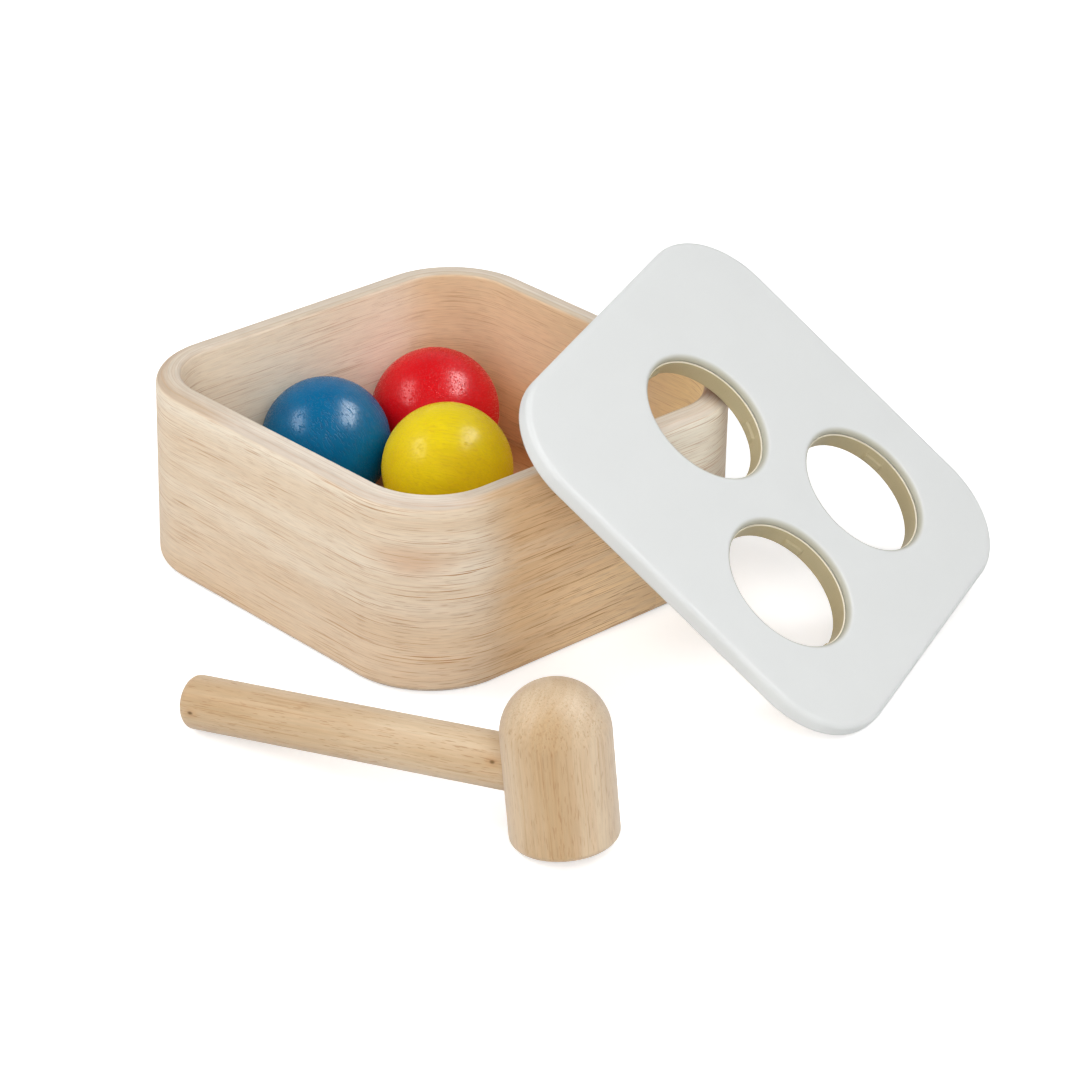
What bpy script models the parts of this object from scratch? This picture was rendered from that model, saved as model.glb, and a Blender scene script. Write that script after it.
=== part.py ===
"""Ball pounding box: a bent wood box with a three-hole lid, three balls and a hammer.

Metres, +Z up. The origin is the middle of the box's underside, with the walls along X and Y.
The set lies as it does in use between games: the balls in the box, the lid leaning on the rim
with its lower corner on the table, and the hammer lying in front.
"""
import math

import bmesh
import bpy
from mathutils import Euler, Matrix, Vector

# Fits
GAP = 0.0003                 # between pieces that touch or are glued

# Box
BOX_WIDTH = 0.170            # outside, both ways
BOX_HEIGHT = 0.075
BOX_CORNER = 0.035           # outside radius of the bent corners, in plan
WALL = 0.0095                # thickness of the bent, laminated wall
RIM_OUTER_ROUND = 0.0045     # rounding of the rim's outer edge
RIM_INNER_ROUND = 0.002      # rounding of the rim's inner edge
BASE_ROUND = 0.004           # rounding of the wall's lower outer edge
FLOOR_THICK = 0.0095
FLOOR_REBATE = 0.003         # how far the floor is let into the wall

# Lid
LID_WIDTH = 0.168
LID_CORNER = 0.033
LID_THICK = 0.007
LID_ROUND = 0.002            # rounding of the lid's edges
REGISTER_THICK = 0.003       # the board below, which drops inside the wall
REGISTER_PLAY = 0.0007       # its clearance to the wall, each side
REGISTER_ROUND = 0.001
HOLE_SPACING = 0.070         # between the centres of the three holes
HOLE_LIP_RADIUS = 0.0256     # the hole in the painted face
HOLE_ROUND = 0.002           # rounding of the hole's upper edge
HOLE_LIP = 0.0026            # depth of the lip that covers the liner's top

# Liner of a hole
LINER_RADIUS = 0.0252        # inside
LINER_WALL = 0.0027
LINER_ROUND = 0.0006
NUB_COUNT = 3                # catches that hold a ball until it is struck
NUB_WIDTH = 0.008
NUB_HEIGHT = 0.003
NUB_REACH = 0.0009           # how far a catch stands in from the liner
NUB_RISE = 0.0012            # from the liner's lower edge to the catch
NUB_ROUND = 0.0004
LINER_TURNS = {"upper": 52.0, "far": 98.0, "near": 105.0}    # degrees to the first catch

# Lid's place: leaning on the rim, one corner on the table
LID_HEADING = math.radians(25.06)
LID_SLOPE = math.radians(38.34)
LID_ROLL = math.radians(6.26)
LID_ACROSS = -0.0019         # the lid's middle, sideways of the line it leans along

# Balls
BALL_DIAMETER = 0.0495
BLUE_ALONG_WALL = -0.0137            # the blue ball's place along the -X wall
RED_FROM_BLUE = math.radians(82.0)       # direction in plan
YELLOW_FROM_RED = math.radians(-36.4)

# Hammer
HEAD_DIAMETER = 0.0373
HEAD_LENGTH = 0.0577         # from the flat face to the top of the dome
HEAD_EDGE = 0.003            # rounding of the flat face's edge
HANDLE_DIAMETER = 0.0191
HANDLE_REACH = 0.147         # from the head's axis to the handle's end
HANDLE_HEIGHT = 0.0246       # from the flat face to the handle's axis
HANDLE_EDGE = 0.0025         # rounding of the handle's end
TENON_PAST_AXIS = 0.008      # how far the handle goes beyond the head's axis
HAMMER_HEADING = math.radians(197.0)
HAMMER_OUT = 0.095           # from the box's +X face to the head's axis
HAMMER_FRONT = 0.020         # from the box's -Y face to the head's axis

# Facets
CORNER_STEPS = 8             # a bent corner
ROUND_STEPS = 3              # a rounded edge
HOLE_STEPS = 48
HAMMER_STEPS = 32
DOME_STEPS = 8
BALL_STEPS = 32

BEECH = (0.62, 0.44, 0.27)
BEECH_SHADE = (0.55, 0.36, 0.21)
WHITE_PAINT = (0.80, 0.81, 0.80)
LINER_KHAKI = (0.50, 0.46, 0.33)
BALL_COLOURS = {
    "yellow": (0.83, 0.62, 0.01),
    "red": (0.62, 0.01, 0.02),
    "blue": (0.01, 0.11, 0.28),
}

# Sizes that follow from the ones above
BALL_RADIUS = BALL_DIAMETER / 2
HEAD_RADIUS = HEAD_DIAMETER / 2
HANDLE_RADIUS = HANDLE_DIAMETER / 2
INNER_WIDTH = BOX_WIDTH - 2 * WALL
LID_DEPTH = LID_THICK + REGISTER_THICK
SEAT_RADIUS = LINER_RADIUS + LINER_WALL + GAP        # counterbore that takes a liner

for old in list(bpy.data.objects):
    bpy.data.objects.remove(old, do_unlink=True)


def new_collection(name):
    collection = bpy.data.collections.new(name)
    bpy.context.scene.collection.children.link(collection)
    return collection


parts = new_collection("ball_pounding_box")
cutters = new_collection("cutters")


def material(name, colour, roughness):
    made = bpy.data.materials.new(name)
    made.use_nodes = True
    shader = made.node_tree.nodes["Principled BSDF"]
    shader.inputs["Base Color"].default_value = (*colour, 1.0)
    shader.inputs["Roughness"].default_value = roughness
    shader.inputs["Metallic"].default_value = 0.0
    return made


def add_object(name, data, collection=parts, parent=None):
    obj = bpy.data.objects.new(name, data)
    collection.objects.link(obj)
    obj.parent = parent
    return obj


def finish(obj, look):
    """Give a piece its material, and shade its round faces smooth."""
    obj.data.materials.append(look)
    obj.data.shade_smooth()
    obj.data.set_sharp_from_angle(angle=math.radians(40))
    return obj


def as_tool(obj):
    """Make an object a cutter or a filler that a Boolean uses, not a piece."""
    obj.hide_render = True
    obj.display_type = 'WIRE'
    return obj


def boolean(obj, tool, operation):
    step = obj.modifiers.new(operation.lower(), 'BOOLEAN')
    step.operation = operation
    step.solver = 'EXACT'
    step.object = tool


def round_edges(obj, width, steps=ROUND_STEPS):
    bevel = obj.modifiers.new("rounded edges", 'BEVEL')
    bevel.width = width
    bevel.segments = steps
    bevel.limit_method = 'ANGLE'
    bevel.angle_limit = math.radians(50)


def arc(centre_x, centre_z, radius, start, end, steps):
    """Points along an arc, from one angle to another, in degrees."""
    angles = [math.radians(start + (end - start) * i / steps) for i in range(steps + 1)]
    return [(centre_x + radius * math.cos(a), centre_z + radius * math.sin(a)) for a in angles]


def rounded_square(width, corner):
    """Outline of a square with round corners, anticlockwise."""
    middle = width / 2 - corner
    points = []
    for quarter, (side_x, side_y) in enumerate(((1, 1), (-1, 1), (-1, -1), (1, -1))):
        start = 90 * quarter
        points += arc(side_x * middle, side_y * middle, corner, start, start + 90, CORNER_STEPS)
    return points


def spline(curve, points):
    """Add a closed run of straight pieces to a curve."""
    run = curve.splines.new('POLY')
    run.points.add(len(points) - 1)
    for point, (x, y) in zip(run.points, points):
        point.co = (x, y, 0.0, 1.0)
    run.use_cyclic_u = True


def flat_curve(name, points):
    curve = bpy.data.curves.new(name, 'CURVE')
    curve.dimensions = '2D'
    spline(curve, points)
    return curve


def swept_ring(name, path, section):
    """Sweep a closed section (inward distance, height) round a closed path, as a mesh."""
    section_obj = as_tool(add_object(name + "_section", flat_curve(name + "_section", section), cutters))
    curve = flat_curve(name + "_path", path)
    curve.fill_mode = 'NONE'
    curve.bevel_mode = 'OBJECT'
    curve.bevel_object = section_obj
    path_obj = add_object(name + "_path", curve, cutters)
    depsgraph = bpy.context.evaluated_depsgraph_get()
    mesh = bpy.data.meshes.new_from_object(path_obj.evaluated_get(depsgraph))
    bpy.data.objects.remove(path_obj, do_unlink=True)
    bm = bmesh.new()
    bm.from_mesh(mesh)
    bmesh.ops.remove_doubles(bm, verts=bm.verts, dist=0.00001)
    bmesh.ops.recalc_face_normals(bm, faces=bm.faces)
    bm.to_mesh(mesh)
    bm.free()
    return add_object(name, mesh)


def rounded_board(name, width, corner, low, high, parent=None):
    """A flat board with round corners in plan, between two heights."""
    bm = bmesh.new()
    bmesh.ops.create_cube(bm, size=1.0)
    bmesh.ops.scale(bm, vec=(width, width, high - low), verts=bm.verts)
    bmesh.ops.translate(bm, vec=(0.0, 0.0, (low + high) / 2), verts=bm.verts)
    upright = [edge for edge in bm.edges if edge.verts[0].co.xy == edge.verts[1].co.xy]
    bmesh.ops.bevel(bm, geom=upright, offset=corner, segments=CORNER_STEPS, profile=0.5, affect='EDGES')
    mesh = bpy.data.meshes.new(name)
    bm.to_mesh(mesh)
    bm.free()
    return add_object(name, mesh, parent=parent)


def turned(name, profile, steps, closed=False, collection=parts, parent=None):
    """Turn a profile (radius, height), which runs down its outer side, about the local Z axis."""
    mesh = bpy.data.meshes.new(name)
    edges = [(i, i + 1) for i in range(len(profile) - 1)]
    if closed:
        edges.append((len(profile) - 1, 0))
    mesh.from_pydata([(radius, 0.0, height) for radius, height in profile], edges, [])
    obj = add_object(name, mesh, collection, parent)
    screw = obj.modifiers.new("turned", 'SCREW')
    screw.axis = 'Z'
    screw.steps = steps
    screw.render_steps = steps
    screw.use_merge_vertices = True
    screw.merge_threshold = 0.00001
    screw.use_smooth_shade = True
    return obj


def board_reach(width, corner, rounding, low, high, direction):
    """How far a board with round corners and edges reaches along a direction."""
    flat = math.hypot(direction.x, direction.y)
    reach = (width / 2 - corner) * (abs(direction.x) + abs(direction.y))
    reach += (corner - rounding) * flat + rounding
    return reach + max((low + rounding) * direction.z, (high - rounding) * direction.z)


# Box: the wall is one laminated strip bent round a square, rebated inside for the floor
def wall_section():
    section = arc(BASE_ROUND, BASE_ROUND, BASE_ROUND, 270, 180, ROUND_STEPS)
    top = BOX_HEIGHT - RIM_OUTER_ROUND
    section += arc(RIM_OUTER_ROUND, top, RIM_OUTER_ROUND, 180, 90, ROUND_STEPS)
    top = BOX_HEIGHT - RIM_INNER_ROUND
    section += arc(WALL - RIM_INNER_ROUND, top, RIM_INNER_ROUND, 90, 0, ROUND_STEPS)
    rebate = WALL - FLOOR_REBATE
    section += [(WALL, FLOOR_THICK), (rebate, FLOOR_THICK), (rebate, 0.0)]
    return section


def build_box(wood, floor_wood):
    wall = swept_ring("box_wall", rounded_square(BOX_WIDTH, BOX_CORNER), wall_section())
    finish(wall, wood)
    let_in = WALL - FLOOR_REBATE + GAP
    floor_top = FLOOR_THICK - GAP
    floor = rounded_board("floor_panel", BOX_WIDTH - 2 * let_in, BOX_CORNER - let_in, 0.0, floor_top)
    finish(floor, floor_wood)
    return floor_top


# Lid: a painted board, a register board under it, and a liner in each hole
def lid_place():
    """Where the lid lies: its underside on the rim, its lower corner on the table."""
    turn = Euler((LID_ROLL, LID_SLOPE, LID_HEADING), 'XYZ').to_matrix()
    normal = turn @ Vector((0.0, 0.0, 1.0))
    down = turn.transposed() @ Vector((0.0, 0.0, -1.0))
    height = board_reach(LID_WIDTH, LID_CORNER, LID_ROUND, -LID_THICK, 0.0, down)
    rim = board_reach(BOX_WIDTH, BOX_CORNER, RIM_OUTER_ROUND, 0.0, BOX_HEIGHT, normal)
    across = Vector((-math.sin(LID_HEADING), math.cos(LID_HEADING)))
    rows = Matrix((normal.xy, across))
    along = rim + LID_DEPTH + GAP - normal.z * height
    place = rows.inverted() @ Vector((along, LID_ACROSS))
    return Matrix.Translation((place.x, place.y, height)) @ turn.to_4x4()


def hole_centres():
    """Corners of an equal-sided triangle about the lid's middle, one of them uphill."""
    rise = HOLE_SPACING * math.sqrt(3) / 4
    half = HOLE_SPACING / 2
    return {"upper": (-rise, 0.0), "far": (rise, half), "near": (rise, -half)}


def cut_hole(board, name, profile, place, parent):
    cutter = as_tool(turned(name, profile, HOLE_STEPS, collection=cutters, parent=parent))
    cutter.location = (*place, 0.0)
    boolean(board, cutter, 'DIFFERENCE')


def lip_profile():
    """A hole through the painted board: rounded at the top, wider below the lip."""
    over = LID_THICK
    mouth = HOLE_LIP_RADIUS + HOLE_ROUND
    rounding = arc(mouth, -HOLE_ROUND, HOLE_ROUND, 90, 180, ROUND_STEPS + 1)
    profile = [(0.0, over), (mouth, over)] + rounding
    profile += [(HOLE_LIP_RADIUS, -HOLE_LIP), (SEAT_RADIUS, -HOLE_LIP)]
    return profile + [(SEAT_RADIUS, -LID_DEPTH), (0.0, -LID_DEPTH)]


def seat_profile():
    """The plain hole through the register board."""
    low = -LID_DEPTH - REGISTER_THICK
    return [(0.0, 0.0), (SEAT_RADIUS, 0.0), (SEAT_RADIUS, low), (0.0, low)]


def liner_profile():
    top = -HOLE_LIP - GAP
    low = -LID_DEPTH
    outer = LINER_RADIUS + LINER_WALL
    profile = [(outer, top), (outer, low)]
    bottom = arc(LINER_RADIUS + LINER_ROUND, low + LINER_ROUND, LINER_ROUND, 270, 180, 2)
    return profile + bottom + arc(LINER_RADIUS + LINER_ROUND, top - LINER_ROUND, LINER_ROUND, 180, 90, 2)


def add_nub(liner, name, angle):
    """A small catch on the liner's inner face, its back sunk in the liner's wall."""
    depth = NUB_REACH + LINER_WALL / 2
    bm = bmesh.new()
    bmesh.ops.create_cube(bm, size=1.0)
    bmesh.ops.scale(bm, vec=(depth, NUB_WIDTH, NUB_HEIGHT), verts=bm.verts)
    middle = Vector((LINER_RADIUS - NUB_REACH + depth / 2, 0.0, -LID_DEPTH + NUB_RISE + NUB_HEIGHT / 2))
    bmesh.ops.translate(bm, vec=middle, verts=bm.verts)
    inner = min(vert.co.x for vert in bm.verts)
    front = [edge for edge in bm.edges if max(vert.co.x for vert in edge.verts) == inner]
    bmesh.ops.bevel(bm, geom=front, offset=NUB_ROUND, segments=1, affect='EDGES')
    mesh = bpy.data.meshes.new(name)
    bm.to_mesh(mesh)
    bm.free()
    nub = as_tool(add_object(name, mesh, cutters, liner))
    nub.rotation_euler.z = angle
    boolean(liner, nub, 'UNION')


def build_lid(paint, wood, liner_look):
    lid = add_object("lid_place", None)
    lid.matrix_world = lid_place()
    panel = rounded_board("lid_panel", LID_WIDTH, LID_CORNER, -LID_THICK, 0.0, lid)
    finish(panel, paint)
    round_edges(panel, LID_ROUND)
    inset = 2 * (WALL + REGISTER_PLAY)
    corner = BOX_CORNER - inset / 2
    top = -LID_THICK - GAP
    register = rounded_board("lid_register", BOX_WIDTH - inset, corner, -LID_DEPTH, top, lid)
    finish(register, wood)
    round_edges(register, REGISTER_ROUND, 1)
    for side, place in hole_centres().items():
        cut_hole(panel, "lip_cutter_" + side, lip_profile(), place, lid)
        cut_hole(register, "seat_cutter_" + side, seat_profile(), place, lid)
        liner = turned("hole_liner_" + side, liner_profile(), HOLE_STEPS, closed=True, parent=lid)
        liner.location = (*place, 0.0)
        finish(liner, liner_look)
        for i in range(NUB_COUNT):
            angle = math.radians(LINER_TURNS[side] + 360 * i / NUB_COUNT)
            add_nub(liner, f"nub_{side}_{i + 1}", angle)


# Balls: the blue one against the -X wall, the red one against it, the yellow one against the red
def ball_places():
    apart = BALL_DIAMETER + GAP
    blue = Vector((-INNER_WIDTH / 2 + BALL_RADIUS + GAP, BLUE_ALONG_WALL))
    red = blue + apart * Vector((math.cos(RED_FROM_BLUE), math.sin(RED_FROM_BLUE)))
    yellow = red + apart * Vector((math.cos(YELLOW_FROM_RED), math.sin(YELLOW_FROM_RED)))
    return {"blue": blue, "red": red, "yellow": yellow}


def build_balls(floor_top):
    for colour, place in ball_places().items():
        bm = bmesh.new()
        bmesh.ops.create_uvsphere(bm, u_segments=BALL_STEPS, v_segments=BALL_STEPS // 2, radius=BALL_RADIUS)
        mesh = bpy.data.meshes.new("ball_" + colour)
        bm.to_mesh(mesh)
        bm.free()
        ball = add_object("ball_" + colour, mesh)
        ball.location = (*place, floor_top + GAP + BALL_RADIUS)
        finish(ball, material(colour + "_stain", BALL_COLOURS[colour], 0.35))


# Hammer: a domed head with a blind hole, and a round handle glued into it
def hammer_place():
    """The hammer lies on its handle's end and on the edge of the head's flat face."""
    level = HANDLE_REACH - HANDLE_EDGE - (HEAD_RADIUS - HEAD_EDGE)
    drop = HANDLE_HEIGHT - HANDLE_RADIUS + HANDLE_EDGE - HEAD_EDGE
    difference = HEAD_EDGE - HANDLE_EDGE
    tilt = math.atan2(drop, level) + math.asin(difference / math.hypot(level, drop))
    lowest = HEAD_EDGE * math.cos(tilt) - (HEAD_RADIUS - HEAD_EDGE) * math.sin(tilt) - HEAD_EDGE
    place = (BOX_WIDTH / 2 + HAMMER_OUT, -BOX_WIDTH / 2 - HAMMER_FRONT, -lowest)
    return Matrix.Translation(place) @ Euler((0.0, tilt, HAMMER_HEADING), 'XYZ').to_matrix().to_4x4()


def head_profile():
    dome = arc(0.0, HEAD_LENGTH - HEAD_RADIUS, HEAD_RADIUS, 90, 0, DOME_STEPS)
    dome[0] = (0.0, HEAD_LENGTH)
    edge = arc(HEAD_RADIUS - HEAD_EDGE, HEAD_EDGE, HEAD_EDGE, 0, -90, ROUND_STEPS)
    return dome + edge + [(0.0, 0.0)]


def handle_profile():
    """From the rounded free end down to the end in the head."""
    end = arc(HANDLE_RADIUS - HANDLE_EDGE, HANDLE_REACH - HANDLE_EDGE, HANDLE_EDGE, 90, 0, ROUND_STEPS)
    return [(0.0, HANDLE_REACH)] + end + [(HANDLE_RADIUS, -TENON_PAST_AXIS), (0.0, -TENON_PAST_AXIS)]


def socket_profile():
    radius = HANDLE_RADIUS + GAP
    low = -TENON_PAST_AXIS - GAP
    return [(0.0, HANDLE_REACH), (radius, HANDLE_REACH), (radius, low), (0.0, low)]


def along_handle(obj):
    """Lay a piece turned about Z along the handle's axis."""
    obj.location = (0.0, 0.0, HANDLE_HEIGHT)
    obj.rotation_euler = (0.0, math.pi / 2, 0.0)
    return obj


def build_hammer(wood):
    hammer = add_object("hammer_place", None)
    hammer.matrix_world = hammer_place()
    head = turned("hammer_head", head_profile(), HAMMER_STEPS, parent=hammer)
    head.rotation_euler.z = math.pi / HAMMER_STEPS    # half a facet: no edge runs along the handle's side
    finish(head, wood)
    socket = turned("handle_socket", socket_profile(), HAMMER_STEPS, collection=cutters, parent=hammer)
    boolean(head, as_tool(along_handle(socket)), 'DIFFERENCE')
    handle = along_handle(turned("hammer_handle", handle_profile(), HAMMER_STEPS, parent=hammer))
    finish(handle, wood)


beech = material("beech", BEECH, 0.5)
box_floor_top = build_box(beech, material("beech_floor", BEECH_SHADE, 0.55))
build_lid(material("white_paint", WHITE_PAINT, 0.4), beech, material("liner_khaki", LINER_KHAKI, 0.5))
build_balls(box_floor_top)
build_hammer(beech)
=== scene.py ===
"""Looks of the ball pounding box: bent wood box, white lid with lined holes, stained balls, hammer.

Metres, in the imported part's frame. Most pieces are finer meshes that stand for a CAD node, and the two
plain boards keep their CAD shape. Every finish is made of nodes: wood is one recipe with several palettes.
"""
import math

import bmesh
import bpy
import numpy as np
from mathutils import Euler, Matrix, Vector
from mathutils.geometry import delaunay_2d_cdt


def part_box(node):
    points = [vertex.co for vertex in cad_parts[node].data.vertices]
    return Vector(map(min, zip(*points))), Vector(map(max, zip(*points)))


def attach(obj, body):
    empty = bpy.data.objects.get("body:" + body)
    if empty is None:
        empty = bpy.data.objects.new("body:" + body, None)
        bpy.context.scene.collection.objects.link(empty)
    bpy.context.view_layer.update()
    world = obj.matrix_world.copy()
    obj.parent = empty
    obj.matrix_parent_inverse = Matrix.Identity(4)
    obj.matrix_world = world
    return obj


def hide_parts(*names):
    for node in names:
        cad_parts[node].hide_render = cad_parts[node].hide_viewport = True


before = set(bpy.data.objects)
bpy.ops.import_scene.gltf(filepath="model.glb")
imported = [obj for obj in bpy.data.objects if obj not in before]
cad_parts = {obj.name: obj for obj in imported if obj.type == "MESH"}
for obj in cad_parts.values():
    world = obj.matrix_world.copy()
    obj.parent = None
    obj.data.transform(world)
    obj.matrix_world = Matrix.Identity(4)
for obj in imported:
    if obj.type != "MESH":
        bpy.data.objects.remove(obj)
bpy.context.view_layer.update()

# Sections of the pieces, as the CAD source has them; places come from the frame
GAP = 0.0003
WALL = 0.0095
BOX_CORNER = 0.035
RIM_OUTER_ROUND = 0.0045
RIM_INNER_ROUND = 0.002
BASE_ROUND = 0.004
FLOOR_THICK = 0.0095
FLOOR_REBATE = 0.003
SEAM = 0.030                 # where the bent strip's ends meet, along the +X side

LID_WIDTH = 0.168
LID_CORNER = 0.033
LID_THICK = 0.007
LID_DEPTH = 0.010            # with the register board
LID_ROUND = 0.002
HOLE_LIP_RADIUS = 0.0256
HOLE_ROUND = 0.002
HOLE_LIP = 0.0023            # leaves the dark line that shows above a liner
FLAT_MARGIN = 0.0004         # flat strip beside a rounded edge, which keeps the flat face's shading even

LINER_RADIUS = 0.0252
LINER_WALL = 0.0027
LINER_ROUND = 0.0006
NUB_COUNT = 3
NUB_WIDTH = 0.008
NUB_HEIGHT = 0.003
NUB_REACH = 0.0009
NUB_RISE = 0.0012
NUB_SLOPE = 0.0005           # over which a catch rises from the liner
LINER_TURNS = {"upper": 52.0, "far": 98.0, "near": 105.0}
LINER_TOP = -0.0029          # from the lid's face
BEAD_TOP = -0.0026
BEAD_WIDTH = 0.0006          # the liner's thin inner edge, which stands up above its shoulder
BEAD_HEIGHT = 0.0015
BEAD_ROUND = 0.0002

HEAD_RADIUS = 0.01865
HEAD_LENGTH = 0.0577
HEAD_EDGE = 0.003
HANDLE_RADIUS = 0.00955
HANDLE_REACH = 0.147
HANDLE_HEIGHT = 0.0246
HANDLE_EDGE = 0.0025
TENON_PAST_AXIS = 0.008

# Facets
CORNER_STEPS = 24
ROUND_STEPS = 8
HOLE_STEPS = 144
LINER_STEPS = 3 * HOLE_STEPS
LINER_EDGE_STEPS = 3
LINER_FOOT_STEPS = 4
NUB_POINTS = 5               # up each slope of a catch
TURN_STEPS = 96
DOME_STEPS = 24
BALL_CUTS = 47
SHARP_ANGLE = math.radians(38)
MERGE = 1e-6                 # points that lie closer become one
FINE_MERGE = 1e-7
POINT_DECIMALS = 7           # to which CAD points that coincide are alike

# Wall build: depths of the glue lines between its plies, from the outer face
PLY_EDGES = (0.0005, 0.0022, 0.0041, 0.0060, 0.0079, 0.0091)
PLY_LINE = 0.00022           # half the width of a glue line
PLY_REPEATS = (4.0, 30.0, 700.0)
PLY_LEVELS = (0.35, 0.65)
GLUE_SHARE = 0.4

# Where the bent strip's tones come in or go out: along it from its seam, up it, or into it from outside
INNER_FACE_SPAN = (WALL - 0.0006, WALL - 0.0001)
CUT_EDGE_SPAN = (0.0003, 0.0009)
FOOT_SPAN = (0.018, 0.060)
INNER_START_SPAN = (0.0, 0.045)
INNER_TAN_SPAN = (0.222, 0.252)
GOLD_START_SPAN = (0.020, 0.045)
GOLD_END_SPAN = (0.07, 0.11)
PAINTED_BOUNCE_SPAN = (0.020, 0.050)
OUTER_TAN_SPAN = (0.540, 0.560)
PAINTED_LIGHT_TAN_SPAN = (0.55, 0.60)
START_SPAN = (0.020, 0.060)
START_PAINTED_LIGHT_SPAN = (0.030, 0.048)
BOLD_SPAN = (0.45, 0.54)
FRONT_START_SPAN = (0.40, 0.43)
FRONT_END_SPAN = (0.515, 0.535)
VENEER_START_SPAN = (0.08, 0.14)
CORNER_SHADE_SPAN = (0.31, 0.345)
FRONT_VENEER_SPAN = (0.395, 0.42)
TAN_VENEER_SPAN = (0.52, 0.545)
OUTER_PLY_SPAN = (0.0022, 0.0045)
INNER_PLY_SPAN = (0.007, 0.008)
INNER_EDGE_SPAN = (0.30, 0.34)

# How much of each tone there is where it is fullest
FOOT_SHARE = 0.55
INNER_SHARE = 0.85
START_SHARE = 0.95
FRONT_SHARE = 0.45
INNER_EDGE_SHARE = 0.8
STREAK_REPEATS = (3.0, 260.0, 260.0)
STREAK_LEVELS = (0.42, 0.62)
STREAK_SHARES = (0.95, 0.70)           # of the outer tan, between its streaks and in them

# How ragged the tones' ends are, and how strongly the strip's figure tells
RAGGED_REPEATS = (14.0, 60.0, 60.0)
RAGGED_ALONG = 0.02
RAGGED_UP = 0.03
PLAIN_VIGOUR = 0.65
BOLD_VIGOUR = 1.15
CUT_VIGOUR = 0.3
INNER_VIGOUR = 0.75

# Two marks in the strip: place along it, up it and into it, one over the size each way, and share
MARK_SPAN = (0.4, 1.5)                 # in sizes of the mark
BLUSH_PLACE = (0.508, 0.051, 0.0)      # a darker patch round the front corner
BLUSH_SHAPE = (45.0, 110.0, 0.0)
BLUSH_SHARE = 0.7
RIM_KNOT_PLACE = (0.041, 0.0745, 0.0055)        # a brown knot in the rim
RIM_KNOT_SHAPE = (75.0, 130.0, 85.0)
RIM_KNOT_SHARE = 0.8

# Wood recipe: how often the noise repeats, per metre along and across the grain, and the levels of it
# between which a mark comes in
NOISE_MIDDLE = 0.5
DRIFT_REPEATS = (6.0, 25.0, 25.0)
DRIFT_REACH = 0.004          # how far the grain wanders
FIBRE_REPEATS = (110.0, 1700.0, 1700.0)
CLOUD_LEVELS = (0.35, 0.65)
BAND_LEVELS = (0.38, 0.68)
BREAK_LEVELS = (0.36, 0.58)
VEIN_LEVELS = (0.58, 0.68)
PORE_FADE = 0.08
FIBRE_LEVELS = (0.25, 0.75)
FIBRE_TONES = (0.94, 1.04)
FIBRE_RISE = 0.2             # of a pore's depth
PORE_DEPTH = 0.00007
PORE_BUMP = 0.5
PORE_WEAR = 0.5              # how much rougher a pore is
VEIN_WEAR = 0.3              # of a pore's
WOOD_SHINE = 0.15
WALL_ROUGHNESS = 0.50
BOARD_ROUGHNESS = 0.45
BALL_ROUGHNESS = 0.26
HAMMER_ROUGHNESS = 0.48
HAMMER_SHINE = 0.10
HAMMER_SHEEN = 0.35
HEAD_CONTRAST = 0.8

# Knots in the hammer's handle: along the handle, to its side, up
KNOTS = ((0.1415, 0.0095, 0.0007), (0.0203, 0.0086, 0.0041))
KNOT_SHAPE = (0.6, 1.0, 1.0)
KNOT_HALO_SPAN = (0.0005, 0.0026)
KNOT_HALO_SHARE = 0.35
KNOT_CORE_SPAN = (0.0002, 0.0009)
KNOT_CORE_SHARE = 0.9

# Growth rings of the hammer's wood, about a line beside each piece
RING_CENTRE = (0.0, 0.012, -0.030)
RING_SPACING = 0.0034
RING_DRIFT_REPEATS = (9.0, 60.0, 60.0)
RING_DRIFT = 2.0             # in rings
RING_RISE_SPAN = (0.0, 0.9)
RING_FALL_SPAN = (0.9, 1.0)
RING_SHARE = 0.12
# Painted sheen: the hammer's wood is paler on one side
PAINTED_SHEEN_SPAN = (0.038, 0.050)          # from the rings' centre
PAINTED_SHEEN_SHARE = 0.6

# Paint and liner
FINISH_LEVELS = (0.3, 0.7)
PAINT_CLOUD_REPEATS = (38.0, 38.0, 38.0)
PAINT_SKIN_REPEATS = (1100.0, 1100.0, 1100.0)
PAINT_BRUSH_REPEATS = (60.0, 900.0, 900.0)
PAINT_BRUSH_SHARE = 0.6
PAINT_ROUGHNESS = (0.48, 0.56)
PAINT_BUMP = (0.12, 0.00006)
PAINT_SHINE = 0.14
LIP_SHARE = 0.75
LINER_CLOUD_REPEATS = (120.0, 120.0, 120.0)
LINER_ROUGHNESS = (0.42, 0.52)
LINER_BUMP = (0.3, 0.00005)
LINER_SHINE = 0.12
SPECK_REPEATS = (2400.0, 2400.0, 2400.0)
SPECK_LEVELS = (0.60, 0.75)
SPECK_SHARE = 0.35

# Camera, fitted to the photograph
IMAGE_SIZE = 1080
FOCAL_PIXELS = 3916
SENSOR = 36.0
CAMERA_PLACE = (0.97524, -0.87498, 0.68199)
CAMERA_TARGET = (0.066857, -0.012051, 0.037358)
CAMERA_ROLL = math.radians(1.256)

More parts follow.
